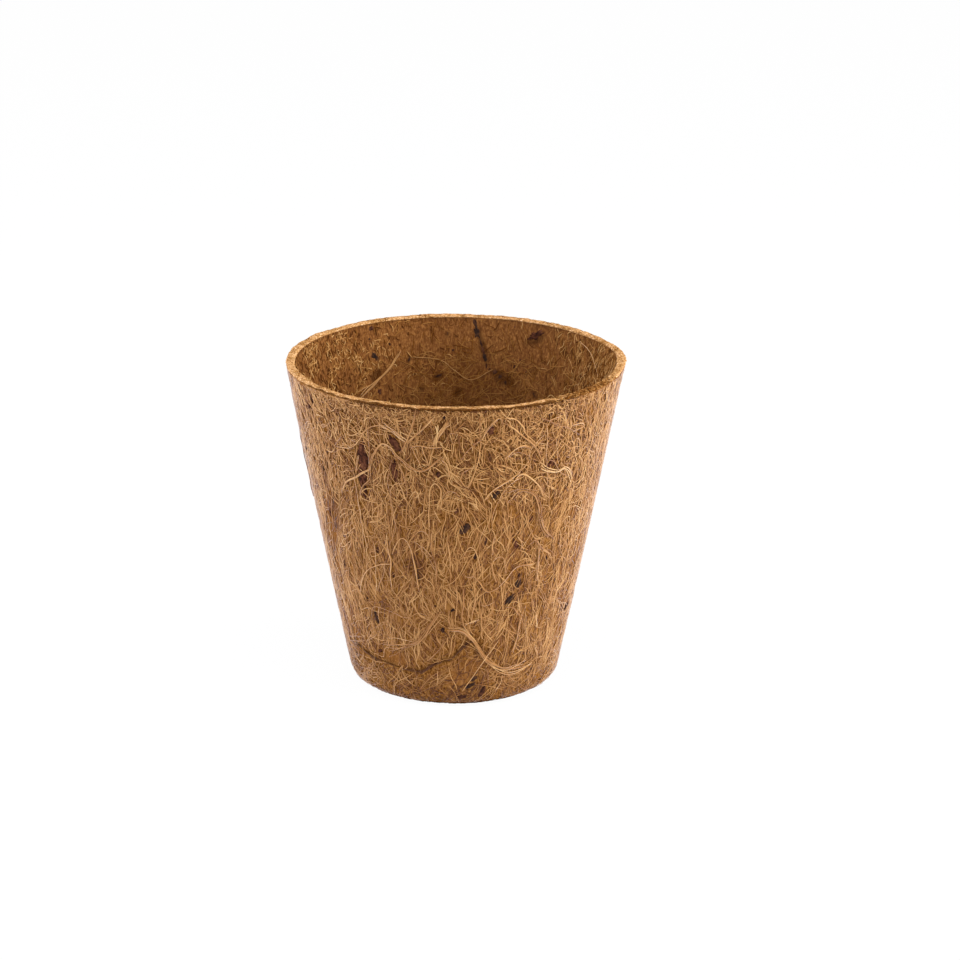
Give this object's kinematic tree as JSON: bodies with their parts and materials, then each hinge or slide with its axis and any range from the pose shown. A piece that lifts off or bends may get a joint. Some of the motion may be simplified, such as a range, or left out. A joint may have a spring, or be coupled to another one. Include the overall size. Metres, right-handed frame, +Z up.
{
  "type": "coir plant pot",
  "caption": "Tapered plant pot, 100 mm across, pressed from coconut-fibre felt: dished base, bonded wall, thick strands and husk flakes.",
  "frame": {"origin": "on the ground under the centre of the base", "axes": "+Z up the pot's axis, -Y the side that faces the camera in the picture, +X to the picture's right"},
  "size_m": [0.0998, 0.0998, 0.0986],
  "materials": {
    "coir_felt": "matte latexed coir felt",
    "coir_strand": "coarse coir fibre, faint sheen",
    "husk_flake": "dull dark husk flake"
  },
  "bodies": {
    "root": {"base_dish": "coir_felt", "side_wall": "coir_felt", "strand_heel_bundle": "coir_strand", "strand_heel_arm": "coir_strand", "strand_heel_crossing": "coir_strand", "strand_left_arch": "coir_strand", "strand_left_wave": "coir_strand", "strand_left_upright": "coir_strand", "strand_left_hook": "coir_strand", "strand_low_left_wave": "coir_strand", "strand_centre_hook": "coir_strand", "strand_centre_loop": "coir_strand", "strand_centre_zigzag": "coir_strand", "strand_centre_thread": "coir_strand", "strand_rim_straw": "coir_strand", "strand_rim_straw_right": "coir_strand", "strand_right_arch": "coir_strand", "strand_right_squiggle": "coir_strand", "strand_right_diagonal": "coir_strand", "strand_right_upright": "coir_strand", "strand_side_right_sweep": "coir_strand", "strand_side_left_sweep": "coir_strand", "strand_back_arch": "coir_strand", "strand_back_bundle": "coir_strand", "strand_back_hook": "coir_strand", "strand_back_loop": "coir_strand", "strand_back_straw": "coir_strand", "strand_back_thread": "coir_strand", "strand_back_wave": "coir_strand", "strand_inner_straw": "coir_strand", "strand_inner_wave": "coir_strand", "strand_inner_straw_right": "coir_strand", "husk_left_tall": "husk_flake", "husk_upper_left": "husk_flake", "husk_mid_left": "husk_flake", "husk_low_left": "husk_flake", "husk_centre": "husk_flake", "husk_centre_right": "husk_flake", "husk_near_rim": "husk_flake", "husk_upper_right": "husk_flake", "husk_mid_right": "husk_flake", "husk_low_right": "husk_flake", "husk_lower_right": "husk_flake", "husk_right_edge": "husk_flake", "husk_side_right": "husk_flake", "husk_side_left": "husk_flake", "husk_back": "husk_flake", "husk_back_upper": "husk_flake", "husk_inner_left": "husk_flake", "husk_inner_back": "husk_flake", "husk_inner_right": "husk_flake"}
  },
  "joints": []
}
